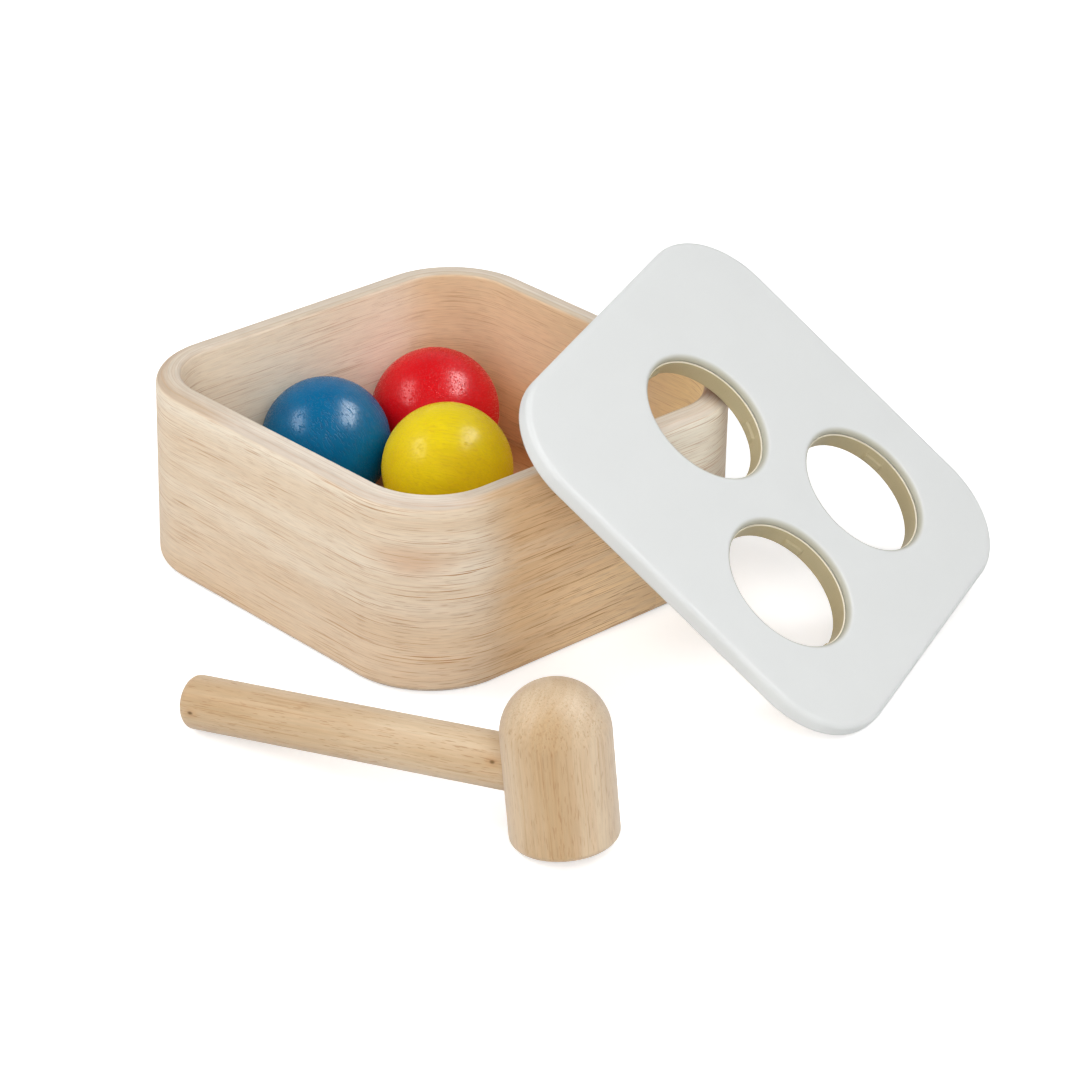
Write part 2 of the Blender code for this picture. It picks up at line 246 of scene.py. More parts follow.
# Light: a softbox lights and is not mirrored, and a gleam is only mirrored
LAMP_DISTANCE = 1.8
LEFT_SIDE = (-0.60, -0.50, 0.62)
LEFT = (-0.36, -0.67, 0.65)
RIGHT = (0.37, 0.42, 0.82)
FRONT = (0.60, -0.62, 0.55)
LAMPS = {
    "left_softbox": {"towards": LEFT_SIDE, "size": (0.8, 0.9), "level": 0.35, "mirrored": False},
    "right_softbox": {"towards": RIGHT, "size": (0.9, 1.3), "level": 0.42, "mirrored": False},
    "front_softbox": {"towards": FRONT, "size": (1.5, 1.3), "level": 0.62, "mirrored": False},
    "left_gleam": {"towards": LEFT, "size": (0.60, 1.20), "level": 1.25, "lights": False,
                   "long_axis": (-0.56, 0.71, 0.42)},
    "right_gleam": {"towards": RIGHT, "size": (0.70, 1.40), "level": 3.50, "lights": False,
                    "long_axis": (-0.84, 0.54, 0.10)},
}
SKY_LEVEL = 0.27
MIRRORED_ROOM = 0.04         # the room on the camera's side, as reflections show it
BACKDROP_SIDE = (-0.7, 0.7, -0.3)
BACKDROP_SPAN = (0.0, 0.6)
FLOOR_HALF = 15.0
FLOOR_DROP = 0.0002
FLOOR_SHADE = 0.78
FLOOR_LIFT = 0.55            # what makes the floor white to the camera near the toy
FAR_FLOOR_LIFT = 0.82        # and beyond the lamps' reach
FLOOR_LIFT_SPAN = (0.6, 3.0)
WHITE = (1.0, 1.0, 1.0, 1.0)


def linear(red, green, blue):
    """A colour written as 0 to 255, as shader values."""
    parts = [value / 255 for value in (red, green, blue)]
    return tuple(p / 12.92 if p <= 0.04045 else ((p + 0.055) / 1.055) ** 2.4 for p in parts) + (1.0,)


def palette(*colours):
    return [linear(*colour) for colour in colours]


# Palette: wood tones are pale, mid, dark and pore
BOX_TONES = palette((238, 224, 203), (228, 207, 180), (190, 146, 102), (166, 112, 64))
FLOOR_TONES = palette((224, 176, 126), (208, 154, 102), (178, 124, 76), (128, 80, 44))
HAMMER_TONES = palette((214, 190, 157), (199, 169, 130), (178, 136, 90), (158, 104, 56))
BALL_TONES = {
    "blue": palette((0, 103, 152), (0, 95, 144), (0, 78, 124), (0, 46, 80)),
    "red": palette((219, 20, 28), (212, 13, 22), (196, 10, 18), (150, 8, 14)),
    "yellow": palette((234, 209, 26), (229, 200, 24), (210, 163, 22), (176, 124, 18)),
}
BALL_GRAIN = {"blue": 0.6, "red": 0.5, "yellow": 0.55}      # how far the grain shows through the stain
BALL_SHINE = {"blue": 0.14, "red": 0.12, "yellow": 0.07}
BALL_TURNS = {"blue": (0.3, 0.9, 0.4), "red": (1.2, 0.4, 2.1), "yellow": (0.0, 0.15, 0.75)}
FOOT_TAN = linear(218, 186, 150)
# The outer face's tan, and a paler tan that is painted light where the lid shades the face
OUTER_TAN_AND_PAINTED_LIGHT = palette((228, 193, 150), (255, 225, 182))
# Painted light: the outer face beside the strip's seam, where the lid shades it
START_PAINTED_LIGHT = linear(255, 249, 234)
# The inner face's tan and pale tones are painted paler than the outer face's, as light for the box's shaded
# inside
INNER_TAN = linear(235, 206, 168)
# Painted warm light on the inner face by the seam, in the lid's shade
INNER_PAINTED_WARM_LIGHT = linear(255, 230, 176)
# Painted warm bounce light low on the inner face
INNER_LOW_PAINTED_BOUNCE = linear(255, 204, 143)
INNER_PALE_PAINTED_LIGHT = linear(250, 237, 216)
BLUSH = linear(216, 178, 146)
PLY_TONES = palette((226, 214, 198), (218, 203, 184))
RIM_PALE = linear(252, 243, 230)
BACK_VENEER = linear(233, 222, 208)
# Painted shade on the outer ply round the left corner
CORNER_PAINTED_SHADE = linear(202, 180, 156)
FRONT_VENEER = linear(213, 198, 182)
TAN_VENEER = linear(228, 196, 157)
# Painted shade on the innermost ply, from the seam to the left corner
INNER_EDGE_PAINTED_SHADE = linear(206, 190, 168)
RIM_KNOT = linear(118, 68, 28)
GLUE_BROWN = linear(196, 158, 118)
# Painted sheen on one side of the hammer's wood
PAINTED_SHEEN_PALE = linear(230, 211, 184)
RING_BROWN = linear(184, 132, 78)
KNOT_BROWN = linear(96, 66, 30)
PAINT_TONES = palette((222, 224, 223), (226, 228, 227))
# Painted shade with a khaki cast, down the lid's holes
LIP_PAINTED_SHADE = linear(176, 172, 148)
LINER_TONES = palette((184, 171, 136), (192, 180, 146))
LINER_SPECK = linear(160, 146, 110)
# Painted highlight on the liner's thin raised edge
BEAD_PAINTED_HIGHLIGHT = linear(250, 242, 220)


# Node helpers
def new_material(name):
    made = bpy.data.materials.new(name)
    made.use_nodes = True
    return made, made.node_tree


def node(tree, kind, inputs=None, **settings):
    """Add a node; an input is a value or another node's socket."""
    made = tree.nodes.new("ShaderNode" + kind)
    for name, value in settings.items():
        setattr(made, name, value)
    for key, value in (inputs or {}).items():
        if isinstance(value, bpy.types.NodeSocket):
            tree.links.new(value, made.inputs[key])
        else:
            made.inputs[key].default_value = value
    return made


def stretch(tree, vector, scale):
    return node(tree, "Mapping", {"Vector": vector, "Scale": scale}).outputs[0]


def noise(tree, place, repeats, detail=2.0):
    """Noise that repeats so often per metre, each way."""
    inputs = {"Vector": stretch(tree, place, repeats), "Scale": 1.0, "Detail": detail}
    return node(tree, "TexNoise", inputs).outputs["Fac"]


def math_node(tree, operation, a, b=0.0):
    return node(tree, "Math", {0: a, 1: b}, operation=operation).outputs[0]


def product(tree, a, b):
    return math_node(tree, 'MULTIPLY', a, b)


def total(tree, a, b):
    return math_node(tree, 'ADD', a, b)


def span(tree, value, low, high, new_low=0.0, new_high=1.0):
    """Map a range of values to another one, smoothly and held at its ends."""
    inputs = {"Value": value, 1: low, 2: high, 3: new_low, 4: new_high}
    return node(tree, "MapRange", inputs, interpolation_type='SMOOTHSTEP').outputs[0]


def fade(tree, value, reach, share=1.0):
    """A share that falls to nothing over a range of values."""
    return span(tree, value, *reach, share, 0.0)


def between(tree, mask, none, full):
    """One value where a mask is 0, another where it is 1."""
    return span(tree, mask, 0.0, 1.0, none, full)


def blend(tree, factor, a, b, mode='MIX'):
    inputs = {0: factor, 6: a, 7: b}
    return node(tree, "Mix", inputs, data_type='RGBA', blend_type=mode).outputs[2]


def ramp(tree, value, stops):
    """A colour ramp of (place, grey level) stops."""
    made = node(tree, "ValToRGB", {0: value})
    points = made.color_ramp.elements
    while len(points) < len(stops):
        points.new(0.5)
    for point, (place, level) in zip(points, stops):
        point.position = place
        point.color = (level, level, level, 1.0)
    return made.outputs[0]


def bump(tree, height, strength, distance):
    return node(tree, "Bump", {"Height": height, "Strength": strength, "Distance": distance}).outputs[0]


def local(tree, place):
    """A point's coordinates in a piece's own place."""
    point = node(tree, "TexCoord").outputs["Object"]
    inputs = {"Vector": point, "Location": place.translation, "Rotation": place.to_euler()}
    return node(tree, "Mapping", inputs, vector_type='TEXTURE').outputs[0]


def length(tree, vector):
    return node(tree, "VectorMath", {0: vector}, operation='LENGTH').outputs["Value"]


def reach_from(tree, place, centre, shape):
    """How far a point lies from a mark's centre, with each way scaled by the mark's shape."""
    away = node(tree, "VectorMath", {0: place, 1: centre}, operation='SUBTRACT').outputs[0]
    return length(tree, stretch(tree, away, shape))


def coat(tree, colour, roughness, normal, shine):
    """Connect a finish to its material's shader."""
    shader = tree.nodes["Principled BSDF"]
    tree.links.new(colour, shader.inputs["Base Color"])
    tree.links.new(roughness, shader.inputs["Roughness"])
    tree.links.new(normal, shader.inputs["Normal"])
    shader.inputs["Specular IOR Level"].default_value = shine
    return shader


# Wood
def grain_attribute(tree):
    """Where a point lies in the bent strip: along it, up it, into it."""
    return node(tree, "Attribute", attribute_name="grain").outputs["Vector"]


def grain_in(place):
    """Where a point lies in a solid piece, with X of its place along the grain."""
    def source(tree):
        return local(tree, place)
    return source


# How a wood's marks repeat along and across the grain, per metre, and how strongly they tell
BOARD_FIGURE = {
    "clouds": (4.0, 70.0, 70.0), "bands": (4.0, 150.0, 250.0), "veins": (24.0, 2300.0, 2300.0),
    "breaks": (30.0, 280.0, 280.0), "pores": (120.0, 2900.0, 2900.0),
    "least_pore": 0.60, "strength": {"bands": 0.16, "veins": 0.90, "pores": 0.32},
}
HAMMER_FIGURE = {
    "clouds": (12.0, 50.0, 50.0), "bands": (6.0, 160.0, 160.0), "veins": (16.0, 1200.0, 1200.0),
    "breaks": (30.0, 450.0, 450.0), "pores": (190.0, 2400.0, 2400.0),
    "least_pore": 0.61, "strength": {"bands": 0.14, "veins": 0.45, "pores": 0.40},
}
BALL_FIGURE = {
    "clouds": (30.0, 60.0, 60.0), "bands": (30.0, 240.0, 240.0), "veins": (60.0, 1100.0, 1100.0),
    "breaks": (120.0, 260.0, 260.0), "pores": (480.0, 1600.0, 1600.0),
    "least_pore": 0.56, "strength": {"bands": 0.12, "veins": 0.45, "pores": 0.20},
}


def wood_figure(tree, place, scales):
    """Clouds, bands, thin veins and short pores of a piece of wood, each from 0 to 1, and its fibres."""
    drift = math_node(tree, 'SUBTRACT', noise(tree, place, DRIFT_REPEATS), NOISE_MIDDLE)
    offset = product(tree, drift, DRIFT_REACH)
    wavy = node(tree, "VectorMath", {0: place, 1: offset}, operation='ADD').outputs[0]
    figure = {}
    figure["clouds"] = span(tree, noise(tree, wavy, scales["clouds"]), *CLOUD_LEVELS)
    figure["bands"] = span(tree, noise(tree, wavy, scales["bands"], detail=3.0), *BAND_LEVELS)
    breaks = span(tree, noise(tree, wavy, scales["breaks"]), *BREAK_LEVELS)
    veins = span(tree, noise(tree, wavy, scales["veins"], detail=1.0), *VEIN_LEVELS)
    figure["veins"] = product(tree, veins, breaks)
    pores = noise(tree, wavy, scales["pores"], detail=1.0)
    figure["pores"] = span(tree, pores, scales["least_pore"], scales["least_pore"] + PORE_FADE)
    figure["fibres"] = noise(tree, wavy, FIBRE_REPEATS)
    return figure


def wood(name, place_of, tones, roughness, scales=BOARD_FIGURE, contrast=1.0,
         shine=WOOD_SHINE, sheen=0.0, extra=None):
    """A wood with its tones: pale, mid, dark and pore.

    What only one piece has comes from extra, which takes and gives a colour and a contrast.
    """
    made, tree = new_material(name)
    pale, mid, dark, pore = tones
    place = place_of(tree)
    figure = wood_figure(tree, place, scales)
    colour = blend(tree, figure["clouds"], pale, mid)
    if extra:
        colour, contrast = extra(tree, place, colour, contrast)
    for mark, tone in (("bands", dark), ("veins", dark), ("pores", pore)):
        share = product(tree, figure[mark], scales["strength"][mark])
        colour = blend(tree, product(tree, share, contrast), colour, tone)
    fibres = span(tree, figure["fibres"], *FIBRE_LEVELS, *FIBRE_TONES)
    colour = blend(tree, 1.0, colour, fibres, 'MULTIPLY')
    worn = total(tree, product(tree, figure["veins"], VEIN_WEAR), figure["pores"])
    worn_roughness = between(tree, worn, roughness, roughness + PORE_WEAR)
    height = math_node(tree, 'SUBTRACT', product(tree, figure["fibres"], FIBRE_RISE), figure["pores"])
    shader = coat(tree, colour, worn_roughness, bump(tree, height, PORE_BUMP, PORE_DEPTH), shine)
    shader.inputs["Sheen Weight"].default_value = sheen
    return made


def soft_mark(tree, place, ragged, centre, shape, share):
    """A patch with a ragged edge."""
    reach = total(tree, reach_from(tree, place, centre, shape), ragged)
    return fade(tree, reach, MARK_SPAN, share)


def inner_tone(tree, along, height, ragged_along):
    """The strip's inner face: pale, but tan in its first length, both painted paler as light for the box's
    shaded inside, with painted gold light by the seam and painted warm bounce light low down.
    """
    # Tan and pale both carry painted light
    tan = product(tree, fade(tree, ragged_along, INNER_TAN_SPAN), span(tree, along, *INNER_START_SPAN))
    colour = blend(tree, tan, INNER_PALE_PAINTED_LIGHT, INNER_TAN)
    # Painted warm light by the seam
    gold = product(tree, span(tree, along, *GOLD_START_SPAN), fade(tree, along, GOLD_END_SPAN))
    colour = blend(tree, gold, colour, INNER_PAINTED_WARM_LIGHT)
    # Painted warm bounce light low down
    warm = product(tree, fade(tree, height, PAINTED_BOUNCE_SPAN), tan)
    return blend(tree, warm, colour, INNER_LOW_PAINTED_BOUNCE)


def ply_tones(tree, place, along, depth):
    """The cut edge of the wall: pale plies of slightly unlike tone, with thin glue lines between them, and
    painted shade on the outer ply round the left corner and on the innermost ply before it.
    """
    plies = noise(tree, place, PLY_REPEATS)
    colour = blend(tree, span(tree, plies, *PLY_LEVELS), *PLY_TONES)
    front_share = fade(tree, along, FRONT_END_SPAN, FRONT_SHARE)
    front = product(tree, span(tree, along, *FRONT_START_SPAN), front_share)
    colour = blend(tree, front, colour, RIM_PALE)
    # The outer ply's tones, with painted shade round the left corner
    veneer_and_shade = blend(tree, span(tree, along, *CORNER_SHADE_SPAN), BACK_VENEER, CORNER_PAINTED_SHADE)
    veneer_and_shade = blend(tree, span(tree, along, *FRONT_VENEER_SPAN), veneer_and_shade, FRONT_VENEER)
    veneer_and_shade = blend(tree, span(tree, along, *TAN_VENEER_SPAN), veneer_and_shade, TAN_VENEER)
    outermost = product(tree, fade(tree, depth, OUTER_PLY_SPAN), span(tree, along, *VENEER_START_SPAN))
    colour = blend(tree, outermost, colour, veneer_and_shade)
    # Painted shade on the innermost ply
    inner_share = fade(tree, along, INNER_EDGE_SPAN, INNER_EDGE_SHARE)
    innermost = product(tree, span(tree, depth, *INNER_PLY_SPAN), inner_share)
    colour = blend(tree, innermost, colour, INNER_EDGE_PAINTED_SHADE)
    stops = []
    for edge in PLY_EDGES:
        stops += [((edge - PLY_LINE) / WALL, 0.0), (edge / WALL, 1.0), ((edge + PLY_LINE) / WALL, 0.0)]
    line = ramp(tree, math_node(tree, 'DIVIDE', depth, WALL), stops)
    return blend(tree, product(tree, line, GLUE_SHARE), colour, GLUE_BROWN)


def strip_tone(tree, place, colour, contrast):
    """The bent strip's marks: tan and pale lengths on each face, partly painted light for the lid's shade
    and the box's inside, and its plies where an edge is cut.
    """
    along, height, depth = node(tree, "SeparateXYZ", {0: place}).outputs
    ragged = noise(tree, place, RAGGED_REPEATS, detail=3.0)
    ragged_along = total(tree, along, product(tree, ragged, RAGGED_ALONG))
    ragged_up = total(tree, height, product(tree, ragged, RAGGED_UP))
    inside = span(tree, depth, *INNER_FACE_SPAN)
    outside = math_node(tree, 'SUBTRACT', 1.0, inside)
    cut = product(tree, span(tree, depth, *CUT_EDGE_SPAN), outside)

    colour = blend(tree, fade(tree, ragged_up, FOOT_SPAN, FOOT_SHARE), colour, FOOT_TAN)
    blush = soft_mark(tree, place, ragged, BLUSH_PLACE, BLUSH_SHAPE, BLUSH_SHARE)
    colour = blend(tree, blush, colour, BLUSH)
    inner = inner_tone(tree, along, height, ragged_along)
    colour = blend(tree, product(tree, inside, INNER_SHARE), colour, inner)

    streaks = span(tree, noise(tree, place, STREAK_REPEATS), *STREAK_LEVELS, *STREAK_SHARES)
    # Tan on the outer face, with painted light further along, where the lid shades it
    tan = product(tree, span(tree, ragged_along, *OUTER_TAN_SPAN, 0.0, streaks), outside)
    colour = blend(tree, tan, colour, blend(tree, span(tree, along, *PAINTED_LIGHT_TAN_SPAN), *OUTER_TAN_AND_PAINTED_LIGHT))
    # Painted light on the outer face beside the seam, where the lid shades it: a paler tan, paler still
    # higher up
    start = product(tree, fade(tree, along, START_SPAN, START_SHARE), outside)
    start_painted_light = blend(tree, span(tree, height, *START_PAINTED_LIGHT_SPAN), OUTER_TAN_AND_PAINTED_LIGHT[1], START_PAINTED_LIGHT)
    colour = blend(tree, start, colour, start_painted_light)

    colour = blend(tree, cut, colour, ply_tones(tree, place, along, depth))
    knot = soft_mark(tree, place, ragged, RIM_KNOT_PLACE, RIM_KNOT_SHAPE, RIM_KNOT_SHARE)
    colour = blend(tree, knot, colour, RIM_KNOT)

    bold = product(tree, span(tree, along, *BOLD_SPAN), outside)
    vigour = between(tree, bold, PLAIN_VIGOUR * contrast, BOLD_VIGOUR * contrast)
    vigour = product(tree, vigour, between(tree, cut, 1.0, CUT_VIGOUR))
    vigour = product(tree, vigour, between(tree, inside, 1.0, INNER_VIGOUR))
    return colour, vigour


def growth_rings(tree, place, colour, contrast):
    """Soft brown growth lines of a turned piece, rings about a line beside it, and a painted pale sheen on
    one side.
    """
    across = stretch(tree, place, (0.0, 1.0, 1.0))
    radius = node(tree, "VectorMath", {0: across, 1: RING_CENTRE}, operation='DISTANCE').outputs["Value"]
    drift = product(tree, noise(tree, place, RING_DRIFT_REPEATS), RING_DRIFT)
    rings = total(tree, math_node(tree, 'DIVIDE', radius, RING_SPACING), drift)
    part = math_node(tree, 'FRACT', rings)
    ring = product(tree, span(tree, part, *RING_RISE_SPAN), fade(tree, part, RING_FALL_SPAN))
    # Painted sheen: paler on one side
    colour = blend(tree, span(tree, radius, *PAINTED_SHEEN_SPAN, 0.0, PAINTED_SHEEN_SHARE), colour, PAINTED_SHEEN_PALE)
    return blend(tree, product(tree, ring, RING_SHARE), colour, RING_BROWN), contrast


def knotted_rings(tree, place, colour, contrast):
    """Growth lines, and small dark knots with a brown halo."""
    colour, contrast = growth_rings(tree, place, colour, contrast)
    for knot in KNOTS:
        reach = reach_from(tree, place, knot, KNOT_SHAPE)
        colour = blend(tree, fade(tree, reach, KNOT_HALO_SPAN, KNOT_HALO_SHARE), colour, RING_BROWN)
        colour = blend(tree, fade(tree, reach, KNOT_CORE_SPAN, KNOT_CORE_SHARE), colour, KNOT_BROWN)
    return colour, contrast


# Other finishes
def paint(lid_place):
    """White satin paint, with painted shade of a khaki cast down each hole's mouth."""
    made, tree = new_material("white_satin_paint")
    place = local(tree, lid_place)
    cloud = noise(tree, place, PAINT_CLOUD_REPEATS, detail=4.0)
    lip = node(tree, "Attribute", attribute_name="lip").outputs["Fac"]
    colour = blend(tree, cloud, *PAINT_TONES)
    # Painted shade down each hole's mouth
    colour = blend(tree, between(tree, lip, 0.0, LIP_SHARE), colour, LIP_PAINTED_SHADE)
    roughness = span(tree, cloud, *FINISH_LEVELS, *PAINT_ROUGHNESS)
    skin = noise(tree, place, PAINT_SKIN_REPEATS, detail=3.0)
    brushed = noise(tree, place, PAINT_BRUSH_REPEATS)
    height = total(tree, skin, product(tree, brushed, PAINT_BRUSH_SHARE))
    coat(tree, colour, roughness, bump(tree, height, *PAINT_BUMP), PAINT_SHINE)
    return made


def liner_finish(lid_place):
    """Khaki plastic with fine specks, and a painted highlight along its thin raised edge."""
    made, tree = new_material("khaki_liner")
    place = local(tree, lid_place)
    cloud = noise(tree, place, LINER_CLOUD_REPEATS, detail=3.0)
    specks = noise(tree, place, SPECK_REPEATS)
    colour = blend(tree, cloud, *LINER_TONES)
    colour = blend(tree, span(tree, specks, *SPECK_LEVELS, 0.0, SPECK_SHARE), colour, LINER_SPECK)
    height = node(tree, "SeparateXYZ", {0: place}).outputs[2]
    # Painted highlight along the raised edge
    raised = span(tree, height, BEAD_TOP - BEAD_WIDTH, BEAD_TOP - BEAD_ROUND)
    colour = blend(tree, raised, colour, BEAD_PAINTED_HIGHLIGHT)
    roughness = span(tree, cloud, *FINISH_LEVELS, *LINER_ROUGHNESS)
    coat(tree, colour, roughness, bump(tree, specks, *LINER_BUMP), LINER_SHINE)
    return made


# Mesh helpers
def new_object(name, data):
    made = bpy.data.objects.new(name, data)
    bpy.context.scene.collection.objects.link(made)
    return made


def arc(centre_x, centre_z, radius, start, end, steps):
    angles = np.radians(np.linspace(start, end, steps + 1))
    return [(centre_x + radius * math.cos(a), centre_z + radius * math.sin(a)) for a in angles]


def rounded_square(width, corner, seam=0.0):
    """Round a square with round corners, from a point on its +X side: places and outward directions."""
    places = [(width / 2, seam)]
    outward = [(1.0, 0.0)]
    middle = width / 2 - corner
    for quarter, (side_x, side_y) in enumerate(((1, 1), (-1, 1), (-1, -1), (1, -1))):
        for angle in np.radians(np.linspace(90 * quarter, 90 * quarter + 90, CORNER_STEPS + 1)):
            direction = (math.cos(angle), math.sin(angle))
            places.append((side_x * middle + corner * direction[0], side_y * middle + corner * direction[1]))
            outward.append(direction)
    return np.array(places), np.array(outward)


def add_sheet(bm, points, wrap_section=True):
    """Add rows of points as a skin that closes along the rows, and across them where asked."""
    rows = [[bm.verts.new(point) for point in row] for row in points]
    count = len(rows[0])
    faces = []
    for i, row in enumerate(rows):
        following = rows[(i + 1) % len(rows)]
        for j in range(count if wrap_section else count - 1):
            k = (j + 1) % count
            faces.append(bm.faces.new((row[j], following[j], following[k], row[k])))
    return faces


def swept(places, outward, section):
    """Rows of points: a section (inward distance, height) carried round a path."""
    inward, height = np.array(section).T
    x = places[:, 0:1] - outward[:, 0:1] * inward
    y = places[:, 1:2] - outward[:, 1:2] * inward
    return np.stack([x, y, np.broadcast_to(height, x.shape)], axis=-1)


def revolved(profile, steps, centre=(0.0, 0.0)):
    """Rows of points: a profile (radius, height) turned about a vertical line."""
    radius, height = np.array(profile).T
    angle = np.linspace(0.0, 2 * math.pi, steps, endpoint=False)[:, None]
    x = centre[0] + radius * np.cos(angle)
    y = centre[1] + radius * np.sin(angle)
    return np.stack([x, y, np.broadcast_to(height, x.shape)], axis=-1)


def add_cap(bm, outline, holes, height):
    """Fill a flat face between an outline and round holes (centre, radius)."""
    loops = [outline] + [hole_ring(centre, radius) for centre, radius in holes]
    flat = [Vector(point) for loop in loops for point in loop]
    edges = []
    for loop in loops:
        first = len(edges)
        edges += [(first + i, first + (i + 1) % len(loop)) for i in range(len(loop))]
    found, _, faces = delaunay_2d_cdt(flat, edges, [], 0, FINE_MERGE)[:3]
    verts = [bm.verts.new((point.x, point.y, height)) for point in found]
    for face in faces:
        middle = sum((found[i] for i in face), Vector((0.0, 0.0))) / len(face)
        if all((middle - Vector(centre)).length > radius for centre, radius in holes):
            bm.faces.new([verts[i] for i in face])


def hole_ring(centre, radius):
    angle = np.linspace(0.0, 2 * math.pi, HOLE_STEPS, endpoint=False)
    return [(centre[0] + radius * math.cos(a), centre[1] + radius * math.sin(a)) for a in angle]


def as_mesh(bm, name):
    bmesh.ops.remove_doubles(bm, verts=bm.verts, dist=MERGE)
    bmesh.ops.recalc_face_normals(bm, faces=bm.faces)
    mesh = bpy.data.meshes.new(name)
    bm.to_mesh(mesh)
    bm.free()
    return mesh


def add_piece(name, mesh, look, body, cad_node, place=Matrix.Identity(4)):
    """Put a finer mesh in a CAD node's stead."""
    piece = new_object(name, mesh)
    mesh.transform(place)
    mesh.materials.clear()
    mesh.materials.append(look)
    mesh.shade_smooth()
    mesh.set_sharp_from_angle(angle=SHARP_ANGLE)
    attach(piece, body)
    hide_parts(cad_node)


def dress(cad_node, look):
    """Give a CAD node that keeps its shape a better material."""
    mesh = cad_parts[cad_node].data
    mesh.materials.clear()
    mesh.materials.append(look)


# Box
def wall_section(height):
    section = arc(BASE_ROUND, BASE_ROUND, BASE_ROUND, 270, 180, ROUND_STEPS)
    section += arc(RIM_OUTER_ROUND, height - RIM_OUTER_ROUND, RIM_OUTER_ROUND, 180, 90, ROUND_STEPS)
    inner = WALL - RIM_INNER_ROUND
    section += arc(inner, height - RIM_INNER_ROUND, RIM_INNER_ROUND, 90, 0, ROUND_STEPS)
    rebate = WALL - FLOOR_REBATE
    return section + [(WALL, FLOOR_THICK), (rebate, FLOOR_THICK), (rebate, 0.0)]


def add_grain(mesh, rows, columns, along, section):
    """Write each face corner's place in the bent strip: along it, up it, into it."""
    run = np.arange(rows)[:, None]
    turn = np.arange(columns)[None, :]
    corner_rows = np.stack(np.broadcast_arrays(run, run + 1, run + 1, run), axis=-1)
    corner_columns = np.stack(np.broadcast_arrays(turn, turn, turn + 1, turn + 1), axis=-1) % columns
    inward, height = np.array(section).T
    shape = (rows, columns, 4)
    along = np.broadcast_to(along[corner_rows], shape)
    values = np.stack([along, np.broadcast_to(height[corner_columns], shape),
                       np.broadcast_to(inward[corner_columns], shape)], axis=-1)
    attribute = mesh.attributes.new("grain", 'FLOAT_VECTOR', 'CORNER')
    attribute.data.foreach_set("vector", values.astype(np.float32).ravel())


def build_box():
    """The bent wall, whose faces keep the order in which add_grain counts them, and the floor."""
    low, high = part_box("box_wall")
    width = high.x - low.x
    section = wall_section(high.z)
    places, outward = rounded_square(width, BOX_CORNER, SEAM)
    bm = bmesh.new()
    add_sheet(bm, swept(places, outward, section))
    mesh = bpy.data.meshes.new("bent_wall")
    bm.to_mesh(mesh)
    bm.free()
    steps = np.linalg.norm(np.diff(np.vstack([places, places[:1]]), axis=0), axis=1)
    along = np.concatenate([[0.0], np.cumsum(steps)])
    add_grain(mesh, len(places), len(section), along, section)
    look = wood("bent_beech", grain_attribute, BOX_TONES, WALL_ROUGHNESS, extra=strip_tone)
    add_piece("bent_wall", mesh, look, "box", "box_wall")
    floor_wood = wood("floor_beech", grain_in(Matrix.Identity(4)), FLOOR_TONES, BOARD_ROUGHNESS)
    dress("floor_panel", floor_wood)


# Lid
def lid_frame():
    """The lid's place, from its three liners: X down its slope, Z out of the painted face."""
    centre = {}
    for side in LINER_TURNS:
        low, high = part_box("hole_liner_" + side)
        centre[side] = (low + high) / 2
    x_axis = ((centre["far"] + centre["near"]) / 2 - centre["upper"]).normalized()
    y_axis = (centre["far"] - centre["near"]).normalized()
    z_axis = x_axis.cross(y_axis)
    middle = (centre["upper"] + (centre["far"] + centre["near"]) / 2) / 2
    origin = middle + z_axis * (LID_DEPTH - LINER_TOP) / 2
    place = Matrix((x_axis, y_axis, z_axis)).transposed().to_4x4()
    place.translation = origin
    holes = {side: (place.inverted() @ spot).xy for side, spot in centre.items()}
    return place, holes


def lid_mesh(holes):
    mouth = HOLE_LIP_RADIUS + HOLE_ROUND
    seat = LINER_RADIUS + LINER_WALL + GAP
    edge = LID_ROUND + FLAT_MARGIN
    section = [(edge, 0.0)] + arc(LID_ROUND, -LID_ROUND, LID_ROUND, 90, 180, ROUND_STEPS)
    section += arc(LID_ROUND, LID_ROUND - LID_THICK, LID_ROUND, 180, 270, ROUND_STEPS)
    section.append((edge, -LID_THICK))
    hole = [(mouth + FLAT_MARGIN, 0.0)] + arc(mouth, -HOLE_ROUND, HOLE_ROUND, 90, 180, ROUND_STEPS)
    hole += [(HOLE_LIP_RADIUS, -HOLE_LIP), (seat, -HOLE_LIP), (seat, -LID_THICK)]
    hole.append((seat + FLAT_MARGIN, -LID_THICK))
    places, outward = rounded_square(LID_WIDTH, LID_CORNER)
    bm = bmesh.new()
    add_sheet(bm, swept(places, outward, section), wrap_section=False)
    for centre in holes.values():
        add_sheet(bm, revolved(hole, HOLE_STEPS, centre), wrap_section=False)
    outline = places - outward * edge
    add_cap(bm, outline, [(centre, mouth + FLAT_MARGIN) for centre in holes.values()], 0.0)
    add_cap(bm, outline, [(centre, seat + FLAT_MARGIN) for centre in holes.values()], -LID_THICK)
    mesh = as_mesh(bm, "lid_board")
    add_lip(mesh, holes, mouth)
    return mesh


def add_lip(mesh, holes, mouth):
    """Write how far into a hole's mouth each point of the lid lies: 0 on its face, 1 at the liner."""
    points = np.array([vert.co for vert in mesh.vertices])
    near = np.min([np.linalg.norm(points[:, :2] - centre, axis=1) for centre in holes.values()], axis=0)
    deep = np.clip((mouth - near) / HOLE_ROUND, 0.0, 1.0)
    attribute = mesh.attributes.new("lip", 'FLOAT', 'POINT')
    attribute.data.foreach_set("value", deep.astype(np.float32))


def ease(value):
    value = np.clip(value, 0.0, 1.0)
    return value * value * (3.0 - 2.0 * value)


